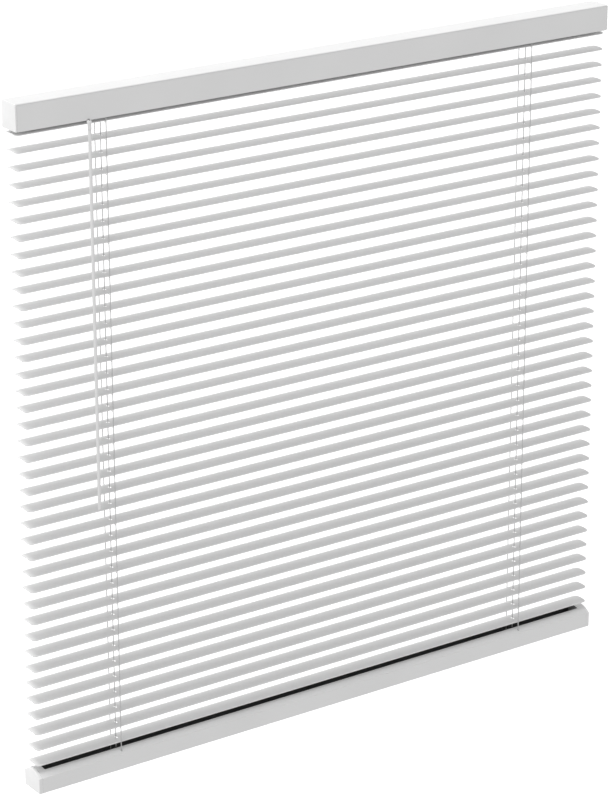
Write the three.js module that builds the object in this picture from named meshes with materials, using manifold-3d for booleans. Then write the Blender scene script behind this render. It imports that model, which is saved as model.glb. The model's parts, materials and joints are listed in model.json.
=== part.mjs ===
// A venetian blind with string ladders, a tilt wand and a spring lift, hanging full length with its
// slats open. Millimetres. X runs along the slats, Y from the room to the window, Z up. The origin is
// the middle of the headrail's top face.
import * as THREE from "three";
import { mergeVertices } from "three/addons/utils/BufferGeometryUtils.js";
import Module from "manifold-3d";

const wasm = await Module();
wasm.setup();

// Clearances
const FIT = 0.3; // between pieces that seat on each other
const RUN = 0.5; // round a piece that turns
const BORE_FACETS = 16;

// Headrail: a U-shaped channel with a snap-in cover and two end caps
const HEADRAIL_LENGTH = 900;
const HEADRAIL_MARGIN = 4.25; // from a slat's edge out to the headrail's face
const HEADRAIL_HEIGHT = 34;
const HEADRAIL_WALL = 1;
const EDGE_RADIUS = 1;
const COVER_THICKNESS = 1.5;
const COVER_LEG_HEIGHT = 3.5;
const COVER_LEG_WIDTH = 1;
const END_CAP_THICKNESS = 2;
const END_PLUG_LENGTH = 10;
const END_PLUG_WALL = 1.5;

// Slats
const SLAT_COUNT = 39;
const SLAT_END_MARGIN = 1.25; // from a slat's end out to the headrail's end
const SLAT_WIDTH = 25;
const SLAT_THICKNESS = 1;
const SLAT_CROWN = 1.3;
const SLAT_CORNER_RADIUS = 5;
const SLAT_PITCH = 21.6;
const SLAT_CURVE_STEPS = 6;
const SLAT_CORNER_STEPS = 3;
const FIRST_SLAT_DROP = 4.3; // from the headrail's underside to the first slat's turning axis

// Ladders and lift cord
const LADDER_INSET = 125; // from the headrail's end in to a ladder
const LADDER_BEND_STEPS = 12;
const STRING_DIAMETER = 1.2;
const STRING_SIDES = 8;
const CORD_DIAMETER = 1.2;
const CORD_BEND_RADIUS = 2.6;
const CORD_BEND_STEPS = 5;
const CORD_RUN_HEIGHT = 2.6; // from the channel's floor up to the middle of the cord
const ROUTE_HOLE_LENGTH = 7.4; // across the slat
const ROUTE_HOLE_WIDTH = 4.4;
const SLOT_END_STEPS = 4;
const SMALL_HOLE_FACETS = 8;
const STRING_HOLE_DIAMETER = 3;
const CORD_HOLE_DIAMETER = 3.6;

// Tilt rod, drums and their cradles
const ROD_ACROSS_FLATS = 6;
const ROD_OVERHANG = 16;
const DRUM_GAP = 1.75; // from a drum's rim to the cover above and to the cord below
const DRUM_FLANGE_HEIGHT = 2.1;
const DRUM_GROOVE_WIDTH = 6;
const DRUM_FLANGE_THICKNESS = 2;
const DRUM_FACETS = 32;
const CRADLE_LENGTH = 30;
const CRADLE_BASE = 1;
const CRADLE_CHEEK = 1.8;
const CRADLE_CHEEK_DEPTH = 24;
const CRADLE_CHEEK_TOP = 6.5; // above the rod's axis

// Tilter: a worm on the wand's stem turns a gear on the rod
const TILTER_FROM_LADDER = 26.2; // from the left ladder out to the wand
const TILTER_LENGTH = 20;
const GEAR_TEETH = 12;
const GEAR_MODULE = 1.1;
const GEAR_WIDTH = 6;
const GEAR_TIP_HEIGHT = 0.7;
const GEAR_ROOT_DEPTH = 1.1;
const GEAR_TWIST_STEPS = 4;
const TOOTH_TIP_WIDTH = 0.7;
const TOOTH_ROOT_WIDTH = 1.6;
const WORM_PITCH_RADIUS = 2.8;
const WORM_THREAD_TIP = 0.8;
const WORM_THREAD_ROOT = 1;
const WORM_LENGTH = 14;
const WORM_SIDES = 16;
const WORM_STEPS_PER_TURN = 8;
const STEM_RADIUS = 2;
const STEM_NECK_RADIUS = 1.1;
const STEM_NECK_LENGTH = 4;
const STEM_BALL_RADIUS = 1.6;
const BALL_FACETS = 12;

// Wand, hung on the stem's ball by its hook
const HOOK_FROM_FACE = 1.9; // the ball's middle, out from the headrail's front face
const HOOK_BELOW = 1.5; // and down from its underside
const HOOK_RADIUS = 3.2;
const HOOK_SLOT_WIDTH = 2.9;
const HOOK_SLOT_MARGIN = 47; // degrees of slot either side of the stem
const HOOK_SWING = 60; // degrees that the wand swings out into the room
const HOOK_SLOT_STEPS = 8;
const HOOK_SHOULDER_RADIUS = 2.7;
const HOOK_SHOULDER_LENGTH = 5.4;
const HOOK_NECK_RADIUS = 2.4;
const HOOK_NECK_LENGTH = 9;
const WAND_PIN_RADIUS = 1.2;
const WAND_PIN_LENGTH = 4;
const WAND_RADIUS = 2.15;
const WAND_LENGTH = 486;
const WAND_SIDES = 12;
const WAND_TIP_LENGTH = 2;
const WAND_TIP_RADIUS = 1.5;

// Spring motor that holds the lift cord
const MOTOR_START = 70;
const MOTOR_LENGTH = 100;
const MOTOR_SIDE_GAP = 2.25; // from the motor to the channel's wall
const MOTOR_FOOT_WIDTH = 7;

// Bottom rail: an arched channel, open along its top, with two end caps
const RAIL_MARGIN = 6; // from a slat's edge out to the rail's face
const RAIL_HEIGHT = 28.9;
const RAIL_ARCH_RISE = 7.8;
const RAIL_WALL = 0.8;
const RAIL_TOP_DROP = 8.4; // from the last slat's axis to the top of the arch
const RAIL_ARCH_STEPS = 10;
const RAIL_SLOT_DEPTH = 17;
const RAIL_SLOT_INSET = 14; // from the rail's end in to the slot's end
const RAIL_STRING_SLOT = 4.2;
const RAIL_CAP_THICKNESS = 5;
const RAIL_CAP_BEVEL = 1;
const RAIL_PLUG_LENGTH = 4;

// Places worked out from the sizes above
const headrailFloor = -HEADRAIL_HEIGHT + HEADRAIL_WALL;
const headrailHalfDepth = SLAT_WIDTH / 2 + HEADRAIL_MARGIN;
const headrailHalfInside = headrailHalfDepth - HEADRAIL_WALL;
const channelHalfLength = HEADRAIL_LENGTH / 2 - END_CAP_THICKNESS - FIT;
const coverLegEnd = -COVER_THICKNESS - COVER_LEG_HEIGHT;
const slatHalfLength = HEADRAIL_LENGTH / 2 - SLAT_END_MARGIN;
const cordZ = headrailFloor + CORD_RUN_HEIGHT;
const drumTop = -COVER_THICKNESS - DRUM_GAP;
const drumBottom = cordZ + CORD_DIAMETER / 2 + DRUM_GAP;
const rodZ = (drumTop + drumBottom) / 2;
const drumFlangeRadius = (drumTop - drumBottom) / 2;
const drumGrooveRadius = drumFlangeRadius - DRUM_FLANGE_HEIGHT;
const ladderX = HEADRAIL_LENGTH / 2 - LADDER_INSET;
const stringY = SLAT_WIDTH / 2 + FIT + STRING_DIAMETER / 2;
const crownHalf = SLAT_CROWN / 2;
const firstSlatZ = -HEADRAIL_HEIGHT - FIRST_SLAT_DROP;
const slatZ = (index) => firstSlatZ - index * SLAT_PITCH;
const railTopZ = slatZ(SLAT_COUNT - 1) - RAIL_TOP_DROP;
const railBottomZ = railTopZ - RAIL_HEIGHT;
const railHalfDepth = SLAT_WIDTH / 2 + RAIL_MARGIN;
const railHalfLength = HEADRAIL_LENGTH / 2;
const railSeamX = railHalfLength - RAIL_CAP_THICKNESS;
const railArchZ = (y) => railTopZ - RAIL_ARCH_RISE * (y / railHalfDepth) ** 2;
const stringEndZ = railArchZ(stringY) - SLAT_WIDTH / 2;
const cradleCheekX = DRUM_GROOVE_WIDTH / 2 + DRUM_FLANGE_THICKNESS + FIT;
const tilterX = -ladderX - TILTER_FROM_LADDER;
const ballY = -headrailHalfDepth - HOOK_FROM_FACE;
const ballZ = -HEADRAIL_HEIGHT - HOOK_BELOW;

// Worm axis: a straight line in the gear's plane, from the ball up under the rod at the gears' distance
const gearPitchRadius = GEAR_TEETH * GEAR_MODULE / 2;
const gearDistance = gearPitchRadius + WORM_PITCH_RADIUS;
const ballToRod = Math.hypot(ballY, rodZ - ballZ);
const wormAngle = Math.atan2(rodZ - ballZ, -ballY) - Math.asin(gearDistance / ballToRod);
const ballToMesh = Math.sqrt(ballToRod ** 2 - gearDistance ** 2);

// Solids
const solidOf = (geometry) => {
  const bare = geometry.clone();
  for (const name of Object.keys(bare.attributes)) {
    if (name !== "position") bare.deleteAttribute(name);
  }
  const merged = mergeVertices(bare, 1e-4);
  return new wasm.Manifold(new wasm.Mesh({
    numProp: 3,
    vertProperties: merged.attributes.position.array,
    triVerts: new Uint32Array(merged.index.array),
  }));
};

const geometryOf = (solid) => {
  const mesh = solid.getMesh();
  const geometry = new THREE.BufferGeometry();
  const positions = new Float32Array(mesh.numVert * 3);
  for (let i = 0; i < mesh.numVert; i++) {
    positions.set(mesh.vertProperties.subarray(i * mesh.numProp, i * mesh.numProp + 3), i * 3);
  }
  geometry.setAttribute("position", new THREE.BufferAttribute(positions, 3));
  geometry.setIndex(new THREE.BufferAttribute(mesh.triVerts, 1));
  geometry.computeVertexNormals();
  return geometry;
};

const box = (x0, x1, y0, y1, z0, z1) => {
  const geometry = new THREE.BoxGeometry(x1 - x0, y1 - y0, z1 - z0);
  geometry.translate((x0 + x1) / 2, (y0 + y1) / 2, (z0 + z1) / 2);
  return solidOf(geometry);
};

// A prism along X whose outline lies in the YZ plane, with its end edges bevelled by a given width.
const prismX = (shape, x0, x1, bevel = 0) => {
  const geometry = new THREE.ExtrudeGeometry(shape, {
    depth: x1 - x0 - 2 * bevel,
    bevelEnabled: bevel > 0,
    bevelThickness: bevel,
    bevelSize: bevel,
    bevelOffset: -bevel,
    bevelSegments: 1,
  });
  const turn = new THREE.Matrix4().makeBasis(
    new THREE.Vector3(0, 1, 0),
    new THREE.Vector3(0, 0, 1),
    new THREE.Vector3(1, 0, 0),
  );
  geometry.applyMatrix4(turn);
  geometry.translate(x0 + bevel, 0, 0);
  return solidOf(geometry);
};

// A prism along Z whose outline lies in the XY plane.
const prismZ = (shape, z0, z1) => {
  const geometry = new THREE.ExtrudeGeometry(shape, { depth: z1 - z0, bevelEnabled: false });
  geometry.translate(0, 0, z0);
  return solidOf(geometry);
};

const outline = (points) => new THREE.Shape(points.map(([a, b]) => new THREE.Vector2(a, b)));

const circle = (y, z, radius, facets, phase = 0) => {
  const points = [];
  for (let i = 0; i < facets; i++) {
    const angle = phase + (i / facets) * 2 * Math.PI;
    points.push([y + radius * Math.cos(angle), z + radius * Math.sin(angle)]);
  }
  return outline(points);
};

// A slot with half-round ends, long in Y.
const slotOutline = (x, y, width, length) => {
  const radius = width / 2;
  const points = [];
  for (const [side, start] of [[1, 0], [-1, Math.PI]]) {
    for (let i = 0; i <= SLOT_END_STEPS; i++) {
      const angle = start + (i / SLOT_END_STEPS) * Math.PI;
      const endY = y + side * (length / 2 - radius);
      points.push([x + radius * Math.cos(angle), endY + radius * Math.sin(angle)]);
    }
  }
  return outline(points);
};

const roundedBox = (halfX, halfY, radius, steps) => {
  const points = [];
  for (const [sx, sy, start] of [[1, 1, 0], [-1, 1, 90], [-1, -1, 180], [1, -1, 270]]) {
    for (let i = 0; i <= steps; i++) {
      const angle = THREE.MathUtils.degToRad(start + (i / steps) * 90);
      points.push([
        sx * (halfX - radius) + radius * Math.cos(angle),
        sy * (halfY - radius) + radius * Math.sin(angle),
      ]);
    }
  }
  return points;
};

const hexagon = (acrossFlats) => circle(0, rodZ, acrossFlats / Math.sqrt(3), 6);

// A lathe profile of [radius, height] pairs, turned about an axis from a point along a direction.
const latheAlong = (profile, facets, start, direction) => {
  const geometry = new THREE.LatheGeometry(profile.map(([r, h]) => new THREE.Vector2(r, h)), facets);
  const turn = new THREE.Quaternion().setFromUnitVectors(new THREE.Vector3(0, 1, 0), direction);
  geometry.applyQuaternion(turn);
  geometry.translate(start.x, start.y, start.z);
  return solidOf(geometry);
};

const alongX = new THREE.Vector3(1, 0, 0);
const down = new THREE.Vector3(0, 0, -1);

// A round string along a curve, closed at both ends.
const stringAlong = (curve, diameter, steps) => {
  const section = new THREE.Shape(
    circle(0, 0, diameter / 2, STRING_SIDES, Math.PI / STRING_SIDES).getPoints(),
  );
  return solidOf(new THREE.ExtrudeGeometry(section, { steps, extrudePath: curve, bevelEnabled: false }));
};

// A curve through hand-set corners, sampled only at its own points so that straight runs stay one step long.
class Polyline extends THREE.Curve {
  constructor(points) {
    super();
    this.points = points;
  }

  getPoint(t) {
    const place = t * (this.points.length - 1);
    const index = Math.min(Math.floor(place), this.points.length - 2);
    return this.points[index].clone().lerp(this.points[index + 1], place - index);
  }

  getPointAt(t) {
    return this.getPoint(t);
  }

  getTangentAt(t) {
    const index = Math.round(t * (this.points.length - 1));
    const before = this.points[Math.max(index - 1, 0)];
    const after = this.points[Math.min(index + 1, this.points.length - 1)];
    return after.clone().sub(before).normalize();
  }
}

// Headrail
const headrailProfile = () => {
  const top = -COVER_THICKNESS - FIT;
  const half = headrailHalfDepth;
  const corner = EDGE_RADIUS * (1 - Math.SQRT1_2);
  return outline([
    [-half, top],
    [-half, -HEADRAIL_HEIGHT + EDGE_RADIUS],
    [-half + corner, -HEADRAIL_HEIGHT + corner],
    [-half + EDGE_RADIUS, -HEADRAIL_HEIGHT],
    [half - EDGE_RADIUS, -HEADRAIL_HEIGHT],
    [half - corner, -HEADRAIL_HEIGHT + corner],
    [half, -HEADRAIL_HEIGHT + EDGE_RADIUS],
    [half, top],
    [headrailHalfInside, top],
    [headrailHalfInside, headrailFloor],
    [-headrailHalfInside, headrailFloor],
    [-headrailHalfInside, top],
  ]);
};

const wormDirection = new THREE.Vector3(0, Math.cos(wormAngle), Math.sin(wormAngle));
const ball = new THREE.Vector3(tilterX, ballY, ballZ);
const alongWorm = (distance) => ball.clone().addScaledVector(wormDirection, distance);

const stemHole = () => latheAlong(
  [[0, 0], [STEM_RADIUS + RUN, 0], [STEM_RADIUS + RUN, ballToMesh], [0, ballToMesh]],
  BORE_FACETS,
  alongWorm(0),
  wormDirection,
);

const makeHeadrail = () => {
  let solid = prismX(headrailProfile(), -channelHalfLength, channelHalfLength);
  for (const side of [-1, 1]) {
    for (const y of [-stringY, stringY]) {
      const hole = circle(side * ladderX, y, STRING_HOLE_DIAMETER / 2, SMALL_HOLE_FACETS);
      solid = solid.subtract(prismZ(hole, -HEADRAIL_HEIGHT - 1, headrailFloor + 1));
    }
    const hole = circle(side * ladderX, 0, CORD_HOLE_DIAMETER / 2, SMALL_HOLE_FACETS);
    solid = solid.subtract(prismZ(hole, -HEADRAIL_HEIGHT - 1, headrailFloor + 1));
  }
  return solid.subtract(stemHole());
};

const makeHeadrailCover = () => {
  const half = headrailHalfDepth;
  const corner = EDGE_RADIUS * (1 - Math.SQRT1_2);
  const legOut = headrailHalfInside - FIT;
  const legIn = legOut - COVER_LEG_WIDTH;
  const under = -COVER_THICKNESS;
  const legEnd = coverLegEnd;
  const shape = outline([
    [-half, under],
    [-legOut, under],
    [-legOut, legEnd],
    [-legIn, legEnd],
    [-legIn, under],
    [legIn, under],
    [legIn, legEnd],
    [legOut, legEnd],
    [legOut, under],
    [half, under],
    [half, -EDGE_RADIUS],
    [half - corner, -corner],
    [half - EDGE_RADIUS, 0],
    [-half + EDGE_RADIUS, 0],
    [-half + corner, -corner],
    [-half, -EDGE_RADIUS],
  ]);
  return prismX(shape, -channelHalfLength, channelHalfLength);
};

// The right-hand end cap covers the channel's end and plugs into it with a hollow collar, which sits
// below the cover's legs.
const makeEndCap = () => {
  const outer = HEADRAIL_LENGTH / 2;
  const inner = outer - END_CAP_THICKNESS;
  const middleZ = -HEADRAIL_HEIGHT / 2;
  const plate = roundedBox(headrailHalfDepth, HEADRAIL_HEIGHT / 2, EDGE_RADIUS, 2)
    .map(([y, z]) => [y, z + middleZ]);
  let solid = prismX(outline(plate), inner, outer);
  const half = headrailHalfInside - FIT;
  const bottom = headrailFloor + FIT;
  const top = coverLegEnd - FIT;
  const plugEnd = inner - END_PLUG_LENGTH;
  solid = solid.add(box(plugEnd, inner + END_CAP_THICKNESS / 2, -half, half, bottom, top));
  return solid.subtract(box(
    plugEnd - 1,
    inner,
    -half + END_PLUG_WALL,
    half - END_PLUG_WALL,
    bottom + END_PLUG_WALL,
    top - END_PLUG_WALL,
  ));
};

// Slat: a shallow arc in section, cut to a plan with round corners and two route holes. Its own origin
// is on its turning axis, at half the height of its crown.
const makeSlat = () => {
  const halfWidth = SLAT_WIDTH / 2;
  const crown = (y) => crownHalf - SLAT_CROWN * (y / halfWidth) ** 2;
  const upper = [];
  const lower = [];
  for (let i = 0; i <= SLAT_CURVE_STEPS; i++) {
    const y = -halfWidth + (i / SLAT_CURVE_STEPS) * SLAT_WIDTH;
    lower.push([y, crown(y) - SLAT_THICKNESS / 2]);
    upper.unshift([y, crown(y) + SLAT_THICKNESS / 2]);
  }
  const sheet = prismX(outline([...lower, ...upper]), -slatHalfLength, slatHalfLength);
  const plan = outline(roundedBox(slatHalfLength, halfWidth, SLAT_CORNER_RADIUS, SLAT_CORNER_STEPS));
  let cutter = prismZ(plan, -SLAT_WIDTH, SLAT_WIDTH);
  for (const x of [-ladderX, ladderX]) {
    const hole = slotOutline(x, 0, ROUTE_HOLE_WIDTH, ROUTE_HOLE_LENGTH);
    cutter = cutter.subtract(prismZ(hole, -SLAT_WIDTH, SLAT_WIDTH));
  }
  return sheet.intersect(cutter);
};

// Ladder: one string that rises in front, passes over the drum and falls behind, with both ends inside
// the rail.
const makeLadder = (x) => {
  const radius = drumGrooveRadius + FIT + STRING_DIAMETER / 2;
  const exitZ = headrailFloor;
  const reach = Math.hypot(stringY, exitZ - rodZ);
  const contact = Math.atan2(exitZ - rodZ, stringY) + Math.acos(radius / reach);
  const arc = [];
  for (let i = 0; i <= LADDER_BEND_STEPS; i++) {
    const angle = contact + (i / LADDER_BEND_STEPS) * (Math.PI - 2 * contact);
    arc.push(new THREE.Vector3(x, radius * Math.cos(angle), rodZ + radius * Math.sin(angle)));
  }
  const points = [
    new THREE.Vector3(x, stringY, stringEndZ),
    new THREE.Vector3(x, stringY, exitZ),
    ...arc,
    new THREE.Vector3(x, -stringY, exitZ),
    new THREE.Vector3(x, -stringY, stringEndZ),
  ];
  return stringAlong(new Polyline(points), STRING_DIAMETER, points.length - 1);
};

// Lift cord: down through the slats at both ladders, and along the channel's floor under the motor
// between them.
const makeLiftCord = () => {
  const endZ = railArchZ(stringY) - FIT;
  const left = [new THREE.Vector3(-ladderX, 0, endZ)];
  for (let i = 0; i <= CORD_BEND_STEPS; i++) {
    const angle = Math.PI - (i / CORD_BEND_STEPS) * (Math.PI / 2);
    left.push(new THREE.Vector3(
      -ladderX + CORD_BEND_RADIUS + CORD_BEND_RADIUS * Math.cos(angle),
      0,
      cordZ - CORD_BEND_RADIUS + CORD_BEND_RADIUS * Math.sin(angle),
    ));
  }
  const right = left.map((point) => new THREE.Vector3(-point.x, point.y, point.z)).reverse();
  const points = [...left, ...right];
  return stringAlong(new Polyline(points), CORD_DIAMETER, points.length - 1);
};

// Tilt rod with its drums
const makeTiltRod = () => prismX(hexagon(ROD_ACROSS_FLATS), tilterX - ROD_OVERHANG, ladderX + ROD_OVERHANG);

const makeDrum = (x) => {
  const half = DRUM_GROOVE_WIDTH / 2;
  const end = half + DRUM_FLANGE_THICKNESS;
  const profile = [
    [0, -end],
    [drumFlangeRadius, -end],
    [drumFlangeRadius, -half],
    [drumGrooveRadius, -half],
    [drumGrooveRadius, half],
    [drumFlangeRadius, half],
    [drumFlangeRadius, end],
    [0, end],
  ];
  const spool = latheAlong(profile, DRUM_FACETS, new THREE.Vector3(x, 0, rodZ), alongX);
  return spool.subtract(prismX(hexagon(ROD_ACROSS_FLATS + 2 * FIT), x - end - 1, x + end + 1));
};

const rodBore = (x0, x1) => prismX(
  circle(0, rodZ, ROD_ACROSS_FLATS / Math.sqrt(3) + RUN, BORE_FACETS),
  x0,
  x1,
);

// Cradle: a base on the channel's floor and two cheeks that carry the rod either side of a drum.
const makeCradle = (x) => {
  const half = headrailHalfInside - FIT;
  const bottom = headrailFloor + FIT;
  const top = rodZ + CRADLE_CHEEK_TOP;
  const end = CRADLE_LENGTH / 2;
  let solid = box(x - end, x + end, -half, half, bottom, bottom + CRADLE_BASE);
  for (const side of [-1, 1]) {
    const near = x + side * cradleCheekX;
    const far = near + side * CRADLE_CHEEK;
    solid = solid.add(box(
      Math.min(near, far),
      Math.max(near, far),
      -CRADLE_CHEEK_DEPTH / 2,
      CRADLE_CHEEK_DEPTH / 2,
      bottom,
      top,
    ));
  }
  solid = solid.subtract(rodBore(x - end, x + end));
  const cordWay = circle(0, cordZ, CORD_DIAMETER / 2 + RUN, SMALL_HOLE_FACETS);
  solid = solid.subtract(prismX(cordWay, x - end, x + end));
  const holes = [
    [-stringY, STRING_HOLE_DIAMETER],
    [0, CORD_HOLE_DIAMETER],
    [stringY, STRING_HOLE_DIAMETER],
  ];
  for (const [y, diameter] of holes) {
    const hole = circle(x, y, diameter / 2, SMALL_HOLE_FACETS);
    solid = solid.subtract(prismZ(hole, bottom - 1, bottom + CRADLE_BASE + 1));
  }
  return solid;
};

// Tilter housing: a block bored for the rod, the gear, the worm and its stem, open above the gear.
const makeTilterHousing = () => {
  const half = headrailHalfInside - FIT;
  const bottom = headrailFloor + FIT;
  const top = coverLegEnd - RUN;
  const x0 = tilterX - TILTER_LENGTH / 2;
  const x1 = tilterX + TILTER_LENGTH / 2;
  const gearRoom = gearPitchRadius + GEAR_TIP_HEIGHT + RUN;
  const gearHalf = GEAR_WIDTH / 2 + RUN;
  const wormRoom = WORM_PITCH_RADIUS + WORM_THREAD_TIP + RUN;
  const wormHalf = WORM_LENGTH / 2 + RUN;
  const gearWay = circle(0, rodZ, gearRoom, DRUM_FACETS);
  let solid = box(x0, x1, -half, half, bottom, top);
  solid = solid.subtract(prismX(gearWay, tilterX - gearHalf, tilterX + gearHalf));
  solid = solid.subtract(box(tilterX - gearHalf, tilterX + gearHalf, -gearRoom, gearRoom, rodZ, top + 1));
  solid = solid.subtract(rodBore(x0 - 1, x1 + 1));
  solid = solid.subtract(latheAlong(
    [[0, 0], [wormRoom, 0], [wormRoom, 2 * wormHalf], [0, 2 * wormHalf]],
    BORE_FACETS,
    alongWorm(ballToMesh - wormHalf),
    wormDirection,
  ));
  return solid.subtract(stemHole());
};

// Gear: straight-flanked teeth, twisted to the worm's lead, with a space towards the worm.
const makeTiltGear = () => {
  const root = gearPitchRadius - GEAR_ROOT_DEPTH;
  const tip = gearPitchRadius + GEAR_TIP_HEIGHT;
  const pitchAngle = (2 * Math.PI) / GEAR_TEETH;
  const meshAngle = wormAngle - Math.PI / 2;
  const points = [];
  for (let i = 0; i < GEAR_TEETH; i++) {
    const middle = meshAngle + (i + 0.5) * pitchAngle;
    const corners = [
      [root, -TOOTH_ROOT_WIDTH / 2 / root],
      [tip, -TOOTH_TIP_WIDTH / 2 / tip],
      [tip, TOOTH_TIP_WIDTH / 2 / tip],
      [root, TOOTH_ROOT_WIDTH / 2 / root],
    ];
    for (const [radius, offset] of corners) {
      points.push([radius * Math.cos(middle + offset), radius * Math.sin(middle + offset)]);
    }
  }
  const geometry = new THREE.ExtrudeGeometry(outline(points), {
    depth: GEAR_WIDTH,
    steps: GEAR_TWIST_STEPS,
    bevelEnabled: false,
  });
  const position = geometry.attributes.position;
  const twist = GEAR_MODULE / (2 * WORM_PITCH_RADIUS) / gearPitchRadius;
  for (let i = 0; i < position.count; i++) {
    const along = position.getZ(i) - GEAR_WIDTH / 2;
    const angle = along * twist;
    const y = position.getX(i) * Math.cos(angle) - position.getY(i) * Math.sin(angle);
    const z = position.getX(i) * Math.sin(angle) + position.getY(i) * Math.cos(angle);
    position.setXYZ(i, tilterX + along, y, rodZ + z);
  }
  const half = GEAR_WIDTH / 2 + 1;
  const bore = prismX(hexagon(ROD_ACROSS_FLATS + 2 * FIT), tilterX - half, tilterX + half);
  return solidOf(geometry).subtract(bore);
};

// Worm: one right-handed thread, drawn as a grid of radii round its axis, with the stem and its ball
// below it.
const makeTiltWorm = () => {
  const lead = Math.PI * GEAR_MODULE;
  const root = WORM_PITCH_RADIUS - WORM_THREAD_ROOT;
  const height = WORM_THREAD_ROOT + WORM_THREAD_TIP;
  const rings = Math.round((WORM_LENGTH / lead) * WORM_STEPS_PER_TURN);
  const across = new THREE.Vector3(1, 0, 0);
  const towardsRod = new THREE.Vector3().crossVectors(across, wormDirection);
  const positions = [];
  const indices = [];
  for (let ring = 0; ring <= rings; ring++) {
    const along = (ring / rings - 0.5) * WORM_LENGTH;
    const fade = Math.min(1, ring / WORM_STEPS_PER_TURN, (rings - ring) / WORM_STEPS_PER_TURN);
    for (let side = 0; side < WORM_SIDES; side++) {
      const angle = (side / WORM_SIDES) * 2 * Math.PI;
      const turns = along / lead - angle / (2 * Math.PI);
      const offset = Math.abs(turns - Math.round(turns)) * lead;
      const flank = (TOOTH_ROOT_WIDTH / 2 - offset) / ((TOOTH_ROOT_WIDTH - TOOTH_TIP_WIDTH) / 2);
      const radius = root + height * fade * THREE.MathUtils.clamp(flank, 0, 1);
      const point = alongWorm(ballToMesh + along)
        .addScaledVector(towardsRod, radius * Math.cos(angle))
        .addScaledVector(across, radius * Math.sin(angle));
      positions.push(point.x, point.y, point.z);
    }
  }
  for (let ring = 0; ring < rings; ring++) {
    for (let side = 0; side < WORM_SIDES; side++) {
      const a = ring * WORM_SIDES + side;
      const b = ring * WORM_SIDES + ((side + 1) % WORM_SIDES);
      indices.push(a, b, b + WORM_SIDES, a, b + WORM_SIDES, a + WORM_SIDES);
    }
  }
  for (const [ring, flip] of [[0, true], [rings, false]]) {
    const centre = positions.length / 3;
    const middle = alongWorm(ballToMesh + (ring / rings - 0.5) * WORM_LENGTH);
    positions.push(middle.x, middle.y, middle.z);
    for (let side = 0; side < WORM_SIDES; side++) {
      const a = ring * WORM_SIDES + side;
      const b = ring * WORM_SIDES + ((side + 1) % WORM_SIDES);
      indices.push(centre, flip ? b : a, flip ? a : b);
    }
  }
  const thread = new THREE.BufferGeometry();
  thread.setAttribute("position", new THREE.BufferAttribute(new Float32Array(positions), 3));
  thread.setIndex(indices);
  const stemEnd = ballToMesh - WORM_LENGTH / 2 + 1;
  const stem = latheAlong(
    [
      [0, 0],
      [STEM_NECK_RADIUS, 0],
      [STEM_NECK_RADIUS, STEM_NECK_LENGTH],
      [STEM_RADIUS, STEM_NECK_LENGTH + 1],
      [STEM_RADIUS, stemEnd],
      [0, stemEnd],
    ],
    BORE_FACETS,
    alongWorm(0),
    wormDirection,
  );
  const knob = new THREE.SphereGeometry(STEM_BALL_RADIUS, BALL_FACETS, BALL_FACETS / 2);
  knob.translate(ball.x, ball.y, ball.z);
  return solidOf(thread).add(stem).add(solidOf(knob));
};

// Wand hook: a round socket over the stem's ball, slotted so that it can swing, with a bored neck below.
const makeWandHook = () => {
  const shell = new THREE.SphereGeometry(HOOK_RADIUS, BORE_FACETS, BORE_FACETS / 2);
  shell.translate(ball.x, ball.y, ball.z);
  const neckProfile = [
    [0, 0],
    [HOOK_SHOULDER_RADIUS, 0],
    [HOOK_NECK_RADIUS, HOOK_SHOULDER_LENGTH],
    [HOOK_NECK_RADIUS, HOOK_NECK_LENGTH],
    [0, HOOK_NECK_LENGTH],
  ];
  const neck = latheAlong(neckProfile, BORE_FACETS, ball, down);
  const hollow = new THREE.SphereGeometry(STEM_BALL_RADIUS + FIT, BALL_FACETS, BALL_FACETS / 2);
  hollow.translate(ball.x, ball.y, ball.z);
  const sector = [[ballY, ballZ]];
  for (let i = 0; i <= HOOK_SLOT_STEPS; i++) {
    const degrees = -HOOK_SLOT_MARGIN + (i / HOOK_SLOT_STEPS) * (HOOK_SWING + 2 * HOOK_SLOT_MARGIN);
    const angle = wormAngle + THREE.MathUtils.degToRad(degrees);
    sector.push([ballY + 2 * HOOK_RADIUS * Math.cos(angle), ballZ + 2 * HOOK_RADIUS * Math.sin(angle)]);
  }
  const slot = prismX(outline(sector), tilterX - HOOK_SLOT_WIDTH / 2, tilterX + HOOK_SLOT_WIDTH / 2);
  const boreRadius = WAND_PIN_RADIUS + FIT;
  const boreLength = WAND_PIN_LENGTH + FIT;
  const bore = latheAlong(
    [[0, 0], [boreRadius, 0], [boreRadius, boreLength + 1], [0, boreLength + 1]],
    BORE_FACETS,
    new THREE.Vector3(ball.x, ball.y, ball.z - HOOK_NECK_LENGTH + boreLength),
    down,
  );
  return solidOf(shell).add(neck).subtract(solidOf(hollow)).subtract(slot).subtract(bore);
};

const makeWand = () => {
  const top = ball.z - HOOK_NECK_LENGTH - FIT;
  const start = new THREE.Vector3(ball.x, ball.y, top + WAND_PIN_LENGTH);
  const end = WAND_PIN_LENGTH + WAND_LENGTH;
  return latheAlong(
    [
      [0, 0],
      [WAND_PIN_RADIUS, 0],
      [WAND_PIN_RADIUS, WAND_PIN_LENGTH],
      [WAND_RADIUS, WAND_PIN_LENGTH],
      [WAND_RADIUS, end - WAND_TIP_LENGTH],
      [WAND_TIP_RADIUS, end],
      [0, end],
    ],
    WAND_SIDES,
    start,
    down,
  );
};

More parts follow.
